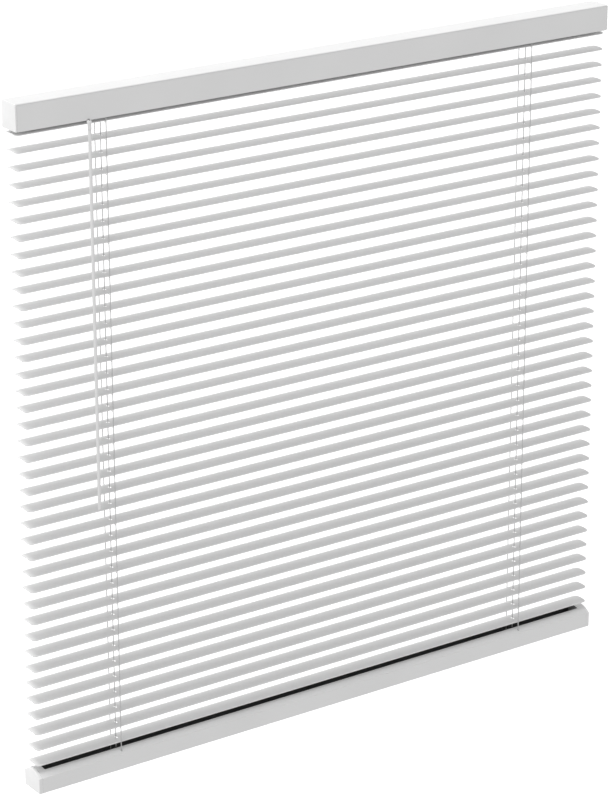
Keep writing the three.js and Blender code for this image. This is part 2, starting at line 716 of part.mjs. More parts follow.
// Spring motor: a block on two feet that the rod passes through and the cord runs under.
const makeSpringMotor = () => {
  const half = headrailHalfInside - MOTOR_SIDE_GAP;
  const foot = headrailFloor + FIT;
  const under = cordZ + CORD_DIAMETER / 2 + RUN;
  const top = coverLegEnd - RUN;
  const shape = outline([
    [-half, foot],
    [-half + MOTOR_FOOT_WIDTH, foot],
    [-half + MOTOR_FOOT_WIDTH, under],
    [half - MOTOR_FOOT_WIDTH, under],
    [half - MOTOR_FOOT_WIDTH, foot],
    [half, foot],
    [half, top],
    [-half, top],
  ]);
  const end = MOTOR_START + MOTOR_LENGTH;
  return prismX(shape, MOTOR_START, end).subtract(rodBore(MOTOR_START - 1, end + 1));
};

// Bottom rail: flat floor, upright walls and an arched top, offset inwards by a margin.
const railOutline = (inset) => {
  const half = railHalfDepth - inset;
  const points = [[-half, railBottomZ + inset], [half, railBottomZ + inset]];
  for (let i = 0; i <= RAIL_ARCH_STEPS; i++) {
    const y = half - (i / RAIL_ARCH_STEPS) * 2 * half;
    points.push([y, railArchZ(y) - inset]);
  }
  return outline(points);
};

const makeBottomRail = () => {
  const end = railSeamX - FIT;
  let solid = prismX(railOutline(0), -end, end);
  solid = solid.subtract(prismX(railOutline(RAIL_WALL), -end - 1, end + 1));
  const slotTop = railTopZ + 1;
  const slotBottom = railTopZ - RAIL_HEIGHT / 2;
  const halfSlot = railHalfLength - RAIL_SLOT_INSET;
  const halfGap = RAIL_SLOT_DEPTH / 2;
  solid = solid.subtract(box(-halfSlot, halfSlot, -halfGap, halfGap, slotBottom, slotTop));
  for (const x of [-ladderX, ladderX]) {
    for (const y of [-stringY, stringY]) {
      const hole = slotOutline(x, y, STRING_HOLE_DIAMETER, RAIL_STRING_SLOT);
      solid = solid.subtract(prismZ(hole, slotBottom, slotTop));
    }
  }
  return solid;
};

// The right-hand rail cap: its outer edges are bevelled, its inner face is flat, and a plug fills the
// channel's end.
const makeRailCap = () => {
  const face = prismX(railOutline(0), railSeamX - RAIL_CAP_BEVEL, railHalfLength, RAIL_CAP_BEVEL);
  const trim = box(
    railSeamX - 2 * RAIL_CAP_BEVEL,
    railSeamX,
    -railHalfDepth - 1,
    railHalfDepth + 1,
    railBottomZ - 1,
    railTopZ + 1,
  );
  const plug = prismX(railOutline(RAIL_WALL + FIT), railSeamX - RAIL_PLUG_LENGTH, railSeamX + 1);
  return face.subtract(trim).add(plug);
};

// Finishes
const paint = (color, roughness) => new THREE.MeshStandardMaterial({ color, roughness, metalness: 0 });
const materials = {
  enamel: paint(0xf1f1ef, 0.45),
  slatVinyl: paint(0xeeeeec, 0.35),
  cap: paint(0xf3f3f1, 0.5),
  moulding: paint(0xe4e4e0, 0.55),
  cord: paint(0xe9e9e6, 0.85),
  wand: paint(0xf0f0f0, 0.25),
  steel: new THREE.MeshStandardMaterial({ color: 0xb9bcc0, roughness: 0.35, metalness: 1 }),
};

const piece = (name, solid, material) => {
  const mesh = new THREE.Mesh(geometryOf(solid), material.clone());
  mesh.name = name;
  return mesh;
};

// The same piece made as its mirror image at the left-hand end.
const mirrored = (mesh) => {
  mesh.scale.x = -1;
  return mesh;
};

const headrail = new THREE.Group();
headrail.add(
  piece("headrail", makeHeadrail(), materials.enamel),
  piece("headrail_cover", makeHeadrailCover(), materials.enamel),
  mirrored(piece("end_cap_left", makeEndCap(), materials.cap)),
  piece("end_cap_right", makeEndCap(), materials.cap),
  piece("spring_motor", makeSpringMotor(), materials.moulding),
);

const tilter = new THREE.Group();
tilter.add(
  piece("tilter_housing", makeTilterHousing(), materials.moulding),
  piece("tilt_rod", makeTiltRod(), materials.steel),
  piece("tilt_gear", makeTiltGear(), materials.moulding),
  piece("tilt_worm", makeTiltWorm(), materials.moulding),
  piece("wand_hook", makeWandHook(), materials.wand),
  piece("wand", makeWand(), materials.wand),
);

const ladders = new THREE.Group();
for (const [side, x] of [["left", -ladderX], ["right", ladderX]]) {
  ladders.add(
    piece("cradle_" + side, makeCradle(x), materials.moulding),
    piece("drum_" + side, makeDrum(x), materials.moulding),
    piece("ladder_" + side, makeLadder(x), materials.cord),
  );
}
ladders.add(piece("lift_cord", makeLiftCord(), materials.cord));

const slats = new THREE.Group();
const slatSolid = makeSlat();
for (let index = 0; index < SLAT_COUNT; index++) {
  const slat = piece("slat_" + String(index + 1).padStart(2, "0"), slatSolid, materials.slatVinyl);
  slat.position.z = slatZ(index);
  slats.add(slat);
}

const rail = new THREE.Group();
rail.add(
  piece("bottom_rail", makeBottomRail(), materials.enamel),
  mirrored(piece("bottom_cap_left", makeRailCap(), materials.cap)),
  piece("bottom_cap_right", makeRailCap(), materials.cap),
);

const blind = new THREE.Group();
blind.add(headrail, tilter, ladders, slats, rail);

export default blind;
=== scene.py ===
"""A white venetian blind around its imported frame, in metres: the looks of every piece that shows."""

import json
import math

import bmesh
import bpy
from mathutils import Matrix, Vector

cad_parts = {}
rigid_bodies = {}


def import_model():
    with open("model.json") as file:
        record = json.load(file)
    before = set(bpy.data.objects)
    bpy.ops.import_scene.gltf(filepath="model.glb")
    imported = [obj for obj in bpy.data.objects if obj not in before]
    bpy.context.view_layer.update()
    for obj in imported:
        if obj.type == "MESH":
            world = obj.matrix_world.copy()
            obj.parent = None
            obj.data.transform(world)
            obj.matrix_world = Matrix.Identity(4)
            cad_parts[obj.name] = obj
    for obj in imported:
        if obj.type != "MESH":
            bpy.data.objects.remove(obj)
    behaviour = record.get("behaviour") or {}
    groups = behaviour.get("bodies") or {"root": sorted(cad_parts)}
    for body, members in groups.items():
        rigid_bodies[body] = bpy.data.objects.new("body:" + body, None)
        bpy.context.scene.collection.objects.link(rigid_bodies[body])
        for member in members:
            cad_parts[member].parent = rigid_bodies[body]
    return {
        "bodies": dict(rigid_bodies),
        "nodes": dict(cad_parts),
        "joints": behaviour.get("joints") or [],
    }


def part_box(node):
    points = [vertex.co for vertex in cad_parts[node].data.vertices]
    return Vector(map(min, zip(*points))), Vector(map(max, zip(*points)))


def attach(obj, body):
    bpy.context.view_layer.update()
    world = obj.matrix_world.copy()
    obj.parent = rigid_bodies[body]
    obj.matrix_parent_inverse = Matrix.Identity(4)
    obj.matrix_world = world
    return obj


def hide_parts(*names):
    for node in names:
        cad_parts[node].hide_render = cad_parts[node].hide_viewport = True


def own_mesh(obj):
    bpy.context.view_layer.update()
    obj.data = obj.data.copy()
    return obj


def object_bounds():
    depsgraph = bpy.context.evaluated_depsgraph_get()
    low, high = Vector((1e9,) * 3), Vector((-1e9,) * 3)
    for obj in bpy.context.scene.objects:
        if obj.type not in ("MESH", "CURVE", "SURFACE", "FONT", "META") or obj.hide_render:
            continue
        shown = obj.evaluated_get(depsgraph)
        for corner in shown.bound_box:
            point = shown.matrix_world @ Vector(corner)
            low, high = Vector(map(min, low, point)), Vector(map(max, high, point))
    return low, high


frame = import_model()
cad_low, cad_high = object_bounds()

# ---------------------------------------------------------------- Sizes, in metres
HAIR = 0.00002  # a small step, so that two surfaces never share a place
SHARP_DEGREES = 32

# Headrail
EDGE_RADIUS = 0.001
CHANNEL_WALL = 0.001
CHANNEL_INNER_RADIUS = 0.0006
LIP_ROUND = 0.0003
COVER_THICKNESS = 0.0015
COVER_LEG_HEIGHT = 0.0035
COVER_LEG_WIDTH = 0.001
FIT = 0.0003
SEAM = 0.00008  # what shows of a joint line between two coated pieces
PLATE_THICKNESS = 0.002
PLATE_EDGE = 0.0007
COLLAR_WALL = 0.0015
COLLAR_RADIUS = 0.001
COLLAR_INNER_RADIUS = 0.0006
COLLAR_BITE = HAIR * 5  # how far the collar reaches into the plate
STRING_HOLE_RADIUS = 0.0015
CORD_HOLE_RADIUS = 0.0018
STEM_HOLE_RADIUS = 0.0025

# Slats
SLAT_THICKNESS = 0.001
SLAT_CROWN = 0.0013
SLAT_CORNER = 0.005
ROUTE_HOLE_HALF_LENGTH = 0.0037
ROUTE_HOLE_RADIUS = 0.0022
SLAT_CROWN_ROWS = 14
SLAT_ARC_ROWS = 7
HOLE_COLUMNS = (2, 4)  # the gaps between stations along a slat that are its route holes

# Ladders and lift cord
STRING_SIDES = 12
STRING_RADIUS = 0.0006
CORD_BEND_RADIUS = 0.0026
CORD_RUN_HEIGHT = 0.0026
RUNG_RADIUS = 0.0003
RUNG_SPREAD = 0.0012
RUNG_DROP = 0.0015
RUNG_JOIN_DROP = 0.0029
RUNG_SAG = 0.0005
RUNG_STEPS = 22
SQUASH_KEEP = 0.5  # the strings' distance from the middle when the slats are at their limit
LEAN_START = 0.004  # below the first slat, where the strings start to lean in
BEND_KEEP = 0.3
BEND_ACROSS = 0.86
BEND_DOWN = 0.51

# Bottom rail
RAIL_WALL = 0.0008
RAIL_ARCH_RISE = 0.0078
RAIL_CORNER = 0.0013
RAIL_SHOULDER = 0.0007
RAIL_SLOT_HALF = 0.0085
RAIL_SLOT_INSET = 0.014
RAIL_SLOT_CORNER = 0.0015
RAIL_STRING_SLOT_HALF = 0.0014
RAIL_STRING_SLOT_RADIUS = 0.001
LIP_WIDTH = 0.0028
LIP_HEIGHT = 0.0003
CREASE_AT = 0.0172
CREASE_DEPTH = 0.00022
CREASE_WIDTH = 0.0004
ARCH_STATIONS = (0.0128, 0.0142)  # further points on the arch, between the lip and the crease
RAIL_CAP = 0.005
RAIL_CAP_EDGE = 0.0011
RAIL_PLUG = 0.004
FACES_UP = 0.999  # the upward part of the normal of a face that looks straight up

# Wand and hook, measured down from the stem's ball
HOOK_RADIUS = 0.0032
HOOK_HOLLOW = 0.0019
HOOK_SLOT_WIDTH = 0.0029
HOOK_SLOT_FROM = -20.4
HOOK_SLOT_TO = 133.6
HOOK_SHOULDER = (0.00262, 0.0022)
HOOK_NECK_RADIUS = 0.0024
HOOK_FLARE = 0.00008
HOOK_FLARE_AT = 0.0038
HOOK_NECK_START = 0.0054
HOOK_NECK_END = 0.009
PIN_RADIUS = 0.0012
PIN_LENGTH = 0.004
WAND_RADIUS = 0.00215
WAND_TIP_RADIUS = 0.0015
WAND_TIP_LENGTH = 0.002
ROUND_SIDES = 40

# Floor, light and camera
FLOOR_DROP = 0.25
FLOOR_HALF = 40.0
FLOOR_GLOW = 0.3
SKY_ABOVE = 0.56
SKY_BELOW = 0.84
SKY_BLEND = 0.2
SKY_BEHIND = 0.64
OVERHEAD_DIRECTION = (-0.2, 0.05, 1.0)
OVERHEAD_STRENGTH = 1.2
OVERHEAD_SOFTNESS = 25
PANEL_PLACE = (-2.3, -0.25, 0.5)
PANEL_SIZE = 1.4
PANEL_POWER = 6
CAMERA_PLACE = (-2.1726, -3.0778, 0.9105)
CAMERA_TURN = (69.972, 0.111, -34.905)
CAMERA_LENS = 139.73
CAMERA_SENSOR = 36

# ---------------------------------------------------------------- Places, from the frame
joints = {joint["name"]: joint for joint in frame["joints"]}
slat_names = sorted(name for name in frame["bodies"] if name.startswith("slat_"))


def centre_of(node):
    low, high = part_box(node)
    return (low + high) / 2


def pivot(joint):
    return Vector(joints[joint]["pos_m"])


slat_z = {name: pivot(name + "_tilt").z for name in slat_names}
channel_low, channel_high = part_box("headrail")
rail_low, rail_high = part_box("bottom_rail")
blind_end = cad_high.x
headrail_half = channel_high.y
headrail_bottom = channel_low.z
slat_half_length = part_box("slat_01")[1].x
slat_half_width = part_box("slat_01")[1].y
ladder_x = centre_of("ladder_right").x
string_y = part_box("ladder_right")[1].y - STRING_RADIUS
string_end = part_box("ladder_right")[0].z
cord_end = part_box("lift_cord")[0].z
drum_middle = centre_of("drum_right")
string_over_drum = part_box("ladder_right")[1].z - STRING_RADIUS - drum_middle.z
ball = pivot("wand_swing")


# ---------------------------------------------------------------- Shapes
def arc(middle_a, middle_b, radius, start, end, steps):
    """Points on a round arc in a plane, from one angle to another in degrees."""
    points = []
    for step in range(steps + 1):
        angle = math.radians(start + (end - start) * step / steps)
        points.append((middle_a + radius * math.cos(angle), middle_b + radius * math.sin(angle)))
    return points


def finish_mesh(name, vertices, faces):
    mesh = bpy.data.meshes.new(name)
    mesh.from_pydata(vertices, [], faces)
    shell = bmesh.new()
    shell.from_mesh(mesh)
    bmesh.ops.remove_doubles(shell, verts=shell.verts, dist=1e-7)
    bmesh.ops.recalc_face_normals(shell, faces=shell.faces)
    shell.to_mesh(mesh)
    shell.free()
    return mesh


def soften(mesh):
    mesh.shade_smooth()
    mesh.set_sharp_from_angle(angle=math.radians(SHARP_DEGREES))


def place(name, mesh):
    soften(mesh)
    piece = bpy.data.objects.new(name, mesh)
    bpy.context.scene.collection.objects.link(piece)
    return piece


def loft(name, rings):
    """A closed solid through rings of points, each with the same number of points."""
    count = len(rings[0])
    vertices = [point for ring in rings for point in ring]
    faces = []
    for first in range(0, (len(rings) - 1) * count, count):
        for i in range(count):
            j = (i + 1) % count
            faces.append((first + i, first + j, first + count + j, first + count + i))
    faces.append(tuple(range(count)))
    faces.append(tuple(range(len(vertices) - count, len(vertices))))
    return place(name, finish_mesh(name, vertices, faces))


def along_x(name, outline, x0, x1):
    """A prism along X of an outline of (y, z) points."""
    return loft(name, [[(x, y, z) for y, z in outline] for x in (x0, x1)])


def along_z(name, outline, z0, z1):
    """A prism along Z of an outline of (x, y) points."""
    return loft(name, [[(x, y, z) for x, y in outline] for z in (z0, z1)])


def round_bar(name, start, end, radius):
    """A round bar between two points."""
    axis = (end - start).normalized()
    across = axis.orthogonal().normalized()
    other = axis.cross(across)
    rings = []
    circle = arc(0, 0, radius, 0, 360, ROUND_SIDES)[:-1]
    for middle in (start, end):
        rings.append([middle + a * across + b * other for a, b in circle])
    return loft(name, rings)


def turned(name, profile, middle):
    """A solid turned about the vertical through a point, from (radius, height) pairs, top to bottom."""
    rings = []
    for radius, height in profile:
        circle = arc(middle.x, middle.y, radius, 0, 360, ROUND_SIDES)[:-1]
        rings.append([(x, y, middle.z + height) for x, y in circle])
    return loft(name, rings)


def combine(solid, tools, operation="DIFFERENCE"):
    """Cuts the tools out of a solid, or joins them to it, and removes them."""
    for tool in tools:
        change = solid.modifiers.new("change", "BOOLEAN")
        change.operation = operation
        change.solver = "EXACT"
        change.object = tool
    graph = bpy.context.evaluated_depsgraph_get()
    mesh = bpy.data.meshes.new_from_object(solid.evaluated_get(graph))
    solid.modifiers.clear()
    solid.data = mesh
    for tool in tools:
        bpy.data.objects.remove(tool)
    soften(mesh)


def strand(name, paths, radius, sides=STRING_SIDES):
    """Round strings along lines of points, closed at both ends. The corner attribute lay holds the turns
    round a string and the distance along it, for its weave."""
    vertices, faces, lay = [], [], []
    for path in paths:
        first = len(vertices)
        points = [Vector(point) for point in path]
        across = None
        distance = 0.0
        distances = []
        for index, point in enumerate(points):
            before = points[max(index - 1, 0)]
            after = points[min(index + 1, len(points) - 1)]
            tangent = (after - before).normalized()
            if across is None:
                across = tangent.orthogonal()
            across = (across - across.dot(tangent) * tangent).normalized()
            other = tangent.cross(across)
            distance += (point - before).length
            distances.append(distance)
            for a, b in arc(0, 0, radius, 0, 360, sides)[:-1]:
                vertices.append(point + a * across + b * other)
        for ring in range(len(points) - 1):
            near, far = distances[ring], distances[ring + 1]
            for side in range(sides):
                a = first + ring * sides + side
                b = first + ring * sides + (side + 1) % sides
                faces.append((a, b, b + sides, a + sides))
                left, right = side / sides, (side + 1) / sides
                lay += [(left, near), (right, near), (right, far), (left, far)]
        ends = [(first, distances[0], True), (len(vertices) - sides, distances[-1], False)]
        for start, at, flip in ends:
            cap = list(range(start, start + sides))
            faces.append(tuple(reversed(cap)) if flip else tuple(cap))
            lay += [(0.0, at)] * sides
    mesh = bpy.data.meshes.new(name)
    mesh.from_pydata(vertices, [], faces)
    attribute = mesh.attributes.new("lay", "FLOAT_VECTOR", "CORNER")
    for corner, (turn, along) in zip(attribute.data, lay):
        corner.vector = (turn, along, 0.0)
    return place(name, mesh)


# ---------------------------------------------------------------- Materials
class Nodes:
    """A material's node tree with short calls for what the finishes need."""

    def __init__(self, name):
        self.material = bpy.data.materials.new(name)
        self.material.use_nodes = True
        self.tree = self.material.node_tree
        self.shader = self.tree.nodes["Principled BSDF"]
        self.place = self.add("ShaderNodeTexCoord").outputs["Object"]

    def add(self, kind, **settings):
        node = self.tree.nodes.new(kind)
        for name, value in settings.items():
            setattr(node, name, value)
        return node

    def link(self, source, target):
        self.tree.links.new(source, target)

    def math(self, operation, *values):
        node = self.add("ShaderNodeMath", operation=operation)
        for socket, value in zip(node.inputs, values):
            if isinstance(value, (int, float)):
                socket.default_value = value
            else:
                self.link(value, socket)
        return node.outputs[0]

    def noise(self, scale, detail=3.0, stretch=None):
        source = self.place
        if stretch:
            mapping = self.add("ShaderNodeMapping")
            mapping.inputs["Scale"].default_value = stretch
            self.link(source, mapping.inputs["Vector"])
            source = mapping.outputs["Vector"]
        node = self.add("ShaderNodeTexNoise")
        node.inputs["Scale"].default_value = scale
        node.inputs["Detail"].default_value = detail
        self.link(source, node.inputs["Vector"])
        return node.outputs["Fac"]

    def cells(self, scale):
        node = self.add("ShaderNodeTexVoronoi", feature="SMOOTH_F1")
        node.inputs["Scale"].default_value = scale
        self.link(self.place, node.inputs["Vector"])
        return node.outputs["Distance"]

    def span(self, value, low, high, source=(0.3, 0.7)):
        node = self.add("ShaderNodeMapRange")
        node.inputs["From Min"].default_value = source[0]
        node.inputs["From Max"].default_value = source[1]
        node.inputs["To Min"].default_value = low
        node.inputs["To Max"].default_value = high
        self.link(value, node.inputs["Value"])
        return node.outputs["Result"]

    def blend_colours(self, factor, first, second):
        ramp = self.add("ShaderNodeValToRGB")
        ramp.color_ramp.elements[0].position = 0.3
        ramp.color_ramp.elements[1].position = 0.7
        ramp.color_ramp.elements[0].color = (*first, 1)
        ramp.color_ramp.elements[1].color = (*second, 1)
        self.link(factor, ramp.inputs["Fac"])
        self.link(ramp.outputs["Color"], self.shader.inputs["Base Color"])

    def bump(self, height, depth):
        node = self.add("ShaderNodeBump")
        node.inputs["Distance"].default_value = depth
        self.link(height, node.inputs["Height"])
        self.link(node.outputs["Normal"], self.shader.inputs["Normal"])

    def set(self, **values):
        for name, value in values.items():
            self.shader.inputs[name.replace("_", " ")].default_value = value


def grey(level, warmth=0.0):
    return (level * (1 + warmth), level, level * (1 - warmth))


def powder_coat():
    """Baked powder paint on steel: faint orange peel, and a little unevenness in tone and gloss."""
    nodes = Nodes("powder_coat")
    nodes.blend_colours(nodes.noise(9.0, 2.0), grey(0.84), grey(0.87))
    nodes.link(nodes.span(nodes.noise(260.0, 4.0), 0.38, 0.5), nodes.shader.inputs["Roughness"])
    peel = nodes.math("ADD", nodes.noise(900.0, 2.0), nodes.math("MULTIPLY", nodes.cells(2200.0), 0.35))
    nodes.bump(peel, 0.00004)
    nodes.set(IOR=1.5)
    return nodes.material


def slat_vinyl():
    """Extruded vinyl strip: satin, with long faint die lines along the strip."""
    nodes = Nodes("slat_vinyl")
    streaks = nodes.noise(60.0, 4.0, stretch=(0.03, 14.0, 1.0))
    nodes.blend_colours(streaks, grey(0.79), grey(0.83))
    nodes.link(nodes.span(streaks, 0.36, 0.48), nodes.shader.inputs["Roughness"])
    fine = nodes.math("ADD", nodes.noise(1500.0, 2.0), nodes.math("MULTIPLY", streaks, 2.0))
    nodes.bump(fine, 0.000012)
    nodes.set(IOR=1.5)
    return nodes.material


def cap_plastic():
    """Injection-moulded caps with a fine spark-eroded grain."""
    nodes = Nodes("cap_plastic")
    nodes.blend_colours(nodes.noise(40.0, 3.0), grey(0.86), grey(0.885))
    grain = nodes.cells(3200.0)
    nodes.link(nodes.span(grain, 0.44, 0.56, (0.0, 0.6)), nodes.shader.inputs["Roughness"])
    nodes.bump(grain, 0.00003)
    nodes.set(IOR=1.46)
    return nodes.material


def moulding_plastic():
    nodes = Nodes("moulding_plastic")
    nodes.blend_colours(nodes.noise(120.0, 3.0), grey(0.72, 0.01), grey(0.77, 0.01))
    nodes.link(nodes.span(nodes.noise(700.0, 3.0), 0.48, 0.62), nodes.shader.inputs["Roughness"])
    nodes.bump(nodes.noise(2400.0, 3.0), 0.00003)
    return nodes.material


def gear_plastic():
    nodes = Nodes("gear_plastic")
    nodes.blend_colours(nodes.noise(300.0, 3.0), grey(0.8), grey(0.84))
    nodes.link(nodes.span(nodes.noise(1200.0, 3.0), 0.28, 0.4), nodes.shader.inputs["Roughness"])
    nodes.bump(nodes.noise(1800.0, 2.0), 0.00001)
    return nodes.material


def rod_steel():
    """Drawn, zinc-plated bar: fine lines along its length."""
    nodes = Nodes("rod_steel")
    lines = nodes.noise(800.0, 4.0, stretch=(0.02, 1.0, 1.0))
    nodes.blend_colours(lines, (0.46, 0.47, 0.5), (0.6, 0.61, 0.63))
    nodes.link(nodes.span(lines, 0.26, 0.44), nodes.shader.inputs["Roughness"])
    nodes.bump(lines, 0.00001)
    nodes.set(Metallic=1.0)
    return nodes.material


def braid(name, dark, light, strands, pitch, depth):
    """Braided polyester: two sets of yarns that wind opposite ways round the string. Its colour is darker in
    the grooves between the yarns: painted shade.
    """
    nodes = Nodes(name)
    lay = nodes.add("ShaderNodeAttribute", attribute_type="GEOMETRY", attribute_name="lay")
    parts = nodes.add("ShaderNodeSeparateXYZ")
    nodes.link(lay.outputs["Vector"], parts.inputs["Vector"])
    round_string = nodes.math("MULTIPLY", parts.outputs["X"], 2 * math.pi * strands)
    along_string = nodes.math("MULTIPLY", parts.outputs["Y"], 2 * math.pi / pitch)
    one_way = nodes.math("SINE", nodes.math("ADD", round_string, along_string))
    other_way = nodes.math("SINE", nodes.math("SUBTRACT", round_string, along_string))
    yarns = nodes.math("MAXIMUM", one_way, other_way)
    fibres = nodes.math("ADD", yarns, nodes.math("MULTIPLY", nodes.noise(9000.0, 2.0), 0.5))
    # Painted shade: the colour runs from dark in the grooves between the yarns to light on their crests.
    painted_groove_shade = nodes.span(fibres, 0.0, 1.0, (-0.6, 1.3))
    nodes.blend_colours(painted_groove_shade, dark, light)
    nodes.link(nodes.span(fibres, 0.95, 0.8, (-0.6, 1.3)), nodes.shader.inputs["Roughness"])
    nodes.bump(fibres, depth)
    nodes.set(Sheen_Weight=0.25, Sheen_Roughness=0.5)
    return nodes.material


def wand_plastic():
    """Extruded white acrylic: glossy, with faint die lines down its length."""
    nodes = Nodes("wand_plastic")
    lines = nodes.noise(900.0, 3.0, stretch=(1.0, 1.0, 0.01))
    nodes.blend_colours(lines, grey(0.84), grey(0.88))
    nodes.link(nodes.span(lines, 0.16, 0.26), nodes.shader.inputs["Roughness"])
    nodes.bump(lines, 0.000015)
    nodes.set(IOR=1.49, Coat_Weight=0.3, Coat_Roughness=0.08)
    return nodes.material


def painted_hollow_shade():
    """A near-black painted shade for the inside faces of the rails, standing in for the shade in their
    hollows.
    """
    nodes = Nodes("painted_hollow_shade")
    # Painted shade: a near-black colour so that the hollows inside the rails look dark.
    nodes.blend_colours(nodes.noise(30.0, 4.0), grey(0.12), grey(0.16))
    nodes.link(nodes.span(nodes.noise(500.0, 3.0), 0.5, 0.65), nodes.shader.inputs["Roughness"])
    nodes.bump(nodes.noise(1600.0, 2.0), 0.00002)
    return nodes.material


def floor_paint():
    """Pale seamless floor, lit a little from within so that it stays white under the blind."""
    nodes = Nodes("floor_paint")
    nodes.blend_colours(nodes.noise(0.6, 2.0), grey(0.9), grey(0.93))
    nodes.set(Roughness=0.9, Emission_Color=(1, 1, 1, 1), Emission_Strength=FLOOR_GLOW)
    return nodes.material


painted_hollow_shade_finish = painted_hollow_shade()
finishes = {
    "rail_enamel": powder_coat(),
    "slat_vinyl": slat_vinyl(),
    "cap_plastic": cap_plastic(),
    "moulding_plastic": moulding_plastic(),
    "gear_plastic": gear_plastic(),
    "rod_steel": rod_steel(),
    "ladder_string": braid("ladder_string", grey(0.5), grey(0.64), 4, 0.0016, 0.00007),
    "lift_cord": braid("lift_cord", grey(0.5), grey(0.66), 4, 0.002, 0.00008),
    "wand_plastic": wand_plastic(),
}


def paint_hollow_shade_inside(piece, is_inside):
    """Gives a finish to the outside of a rail and the painted shade to its inside faces."""
    piece.data.materials.clear()
    piece.data.materials.append(finishes["rail_enamel"])
    # The second material is the painted shade of the hollow.
    piece.data.materials.append(painted_hollow_shade_finish)
    for face in piece.data.polygons:
        face.material_index = 1 if is_inside(face.center, face.normal) else 0


def settle(piece, slot, body, *nodes):
    """Gives a piece its finish and its body, and hides the nodes it stands for."""
    # Pieces that already carry the painted hollow shade keep both of their materials.
    if piece.data.materials.get("painted_hollow_shade") is None:
        piece.data.materials.clear()
        piece.data.materials.append(finishes[slot])
    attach(piece, body)
    if nodes:
        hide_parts(*nodes)


# ---------------------------------------------------------------- Headrail
def rail_reach(cap_thickness):
    """How far a rail's coated strip runs from the middle, up to the seam with its end cap."""
    return blind_end - cap_thickness - SEAM


def cord_holes(z0, z1):
    """Cutters for the holes of the strings and the cord, at both ladders."""
    across = ((-string_y, STRING_HOLE_RADIUS), (0, CORD_HOLE_RADIUS), (string_y, STRING_HOLE_RADIUS))
    tools = []
    for x in (-ladder_x, ladder_x):
        for y, radius in across:
            tools.append(round_bar("hole", Vector((x, y, z0)), Vector((x, y, z1)), radius))
    return tools


def make_channel():
    half = headrail_half
    top = -COVER_THICKNESS - SEAM
    bottom = headrail_bottom
    inside = half - CHANNEL_WALL
    floor = bottom + CHANNEL_WALL
    rim = CHANNEL_WALL / 2
    outline = [(-half, top - rim)]
    outline += arc(-half + EDGE_RADIUS, bottom + EDGE_RADIUS, EDGE_RADIUS, 180, 270, 8)
    outline += arc(half - EDGE_RADIUS, bottom + EDGE_RADIUS, EDGE_RADIUS, 270, 360, 8)
    outline += arc(half - rim, top - rim, rim, 0, 180, 8)
    r = CHANNEL_INNER_RADIUS
    outline += arc(inside - r, floor + r, r, 0, -90, 5)
    outline += arc(-inside + r, floor + r, r, 270, 180, 5)
    outline += arc(-half + rim, top - rim, rim, 0, 180, 8)[:-1]
    reach = rail_reach(PLATE_THICKNESS)
    channel = along_x("headrail_channel", outline, -reach, reach)
    tools = cord_holes(bottom - EDGE_RADIUS, floor + EDGE_RADIUS)
    axis = Vector(joints["worm_spin"]["axis"]).normalized()
    inwards = axis if axis.y > 0 else -axis
    tools.append(round_bar("hole", ball, ball + inwards * headrail_half, STEM_HOLE_RADIUS))
    combine(channel, tools)
    depth = CHANNEL_WALL - HAIR

    def is_inside(at, _):
        return abs(at.y) < half - depth and bottom + depth < at.z < top - CHANNEL_WALL

    # The channel's inside faces get the painted shade.
    paint_hollow_shade_inside(channel, is_inside)
    settle(channel, "rail_enamel", "headrail_frame", "headrail")


def make_cover():
    half = headrail_half
    leg_out = half - CHANNEL_WALL - FIT
    leg_in = leg_out - COVER_LEG_WIDTH
    under = -COVER_THICKNESS
    leg_end = under - COVER_LEG_HEIGHT
    foot = COVER_LEG_WIDTH / 2
    right = arc(half - LIP_ROUND, under + LIP_ROUND, LIP_ROUND, 270, 360, 3)
    right += arc(half - EDGE_RADIUS, -EDGE_RADIUS, EDGE_RADIUS, 0, 90, 8)
    left = [(-y, z) for y, z in reversed(right)]
    right_leg = [(leg_in, under)]
    right_leg += arc(leg_out - foot, leg_end + foot, foot, 180, 360, 8)
    right_leg += [(leg_out, under)]
    left_leg = [(-y, z) for y, z in reversed(right_leg)]
    reach = rail_reach(PLATE_THICKNESS)
    cover = along_x("headrail_cover_strip", right + left + left_leg + right_leg, -reach, reach)
    settle(cover, "rail_enamel", "headrail_frame", "headrail_cover")


def rounded_box(half_y, low_z, high_z, radius, steps=8):
    points = []
    corners = [(1, high_z, 0), (-1, high_z, 90), (-1, low_z, 180), (1, low_z, 270)]
    for side, z, start in corners:
        inset = -radius if z == high_z else radius
        points += arc(side * (half_y - radius), z + inset, radius, start, start + 90, steps)
    return points


def make_end_cap(side, name):
    """A plate with softened edges, and a hollow collar that plugs into the channel."""
    low = headrail_bottom
    outer = blind_end
    inner = outer - PLATE_THICKNESS
    rings = [(inner, 0.0)]
    rings += [(outer - PLATE_EDGE + along, inset) for inset, along in quarter(PLATE_EDGE)]
    sections = []
    for x, inset in rings:
        outline = rounded_box(headrail_half - inset, low + inset, -inset, EDGE_RADIUS + PLATE_EDGE - inset)
        sections.append([(side * x, y, z) for y, z in outline])
    plate = loft(name + "_moulding", sections)
    plug_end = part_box("end_cap_right")[0].x
    half = headrail_half - CHANNEL_WALL - FIT
    bottom = low + CHANNEL_WALL + FIT
    top = -COVER_THICKNESS - COVER_LEG_HEIGHT - FIT
    collar_outline = rounded_box(half, bottom, top, COLLAR_RADIUS, 4)
    collar = along_x("collar", collar_outline, side * plug_end, side * (inner + COLLAR_BITE))
    wall = COLLAR_WALL
    hollow_outline = rounded_box(half - wall, bottom + wall, top - wall, COLLAR_INNER_RADIUS, 4)
    hollow = along_x("hollow", hollow_outline, side * (plug_end - wall), side * (inner - HAIR))
    combine(plate, [collar], "UNION")
    combine(plate, [hollow])
    settle(plate, "cap_plastic", "headrail_frame", name)


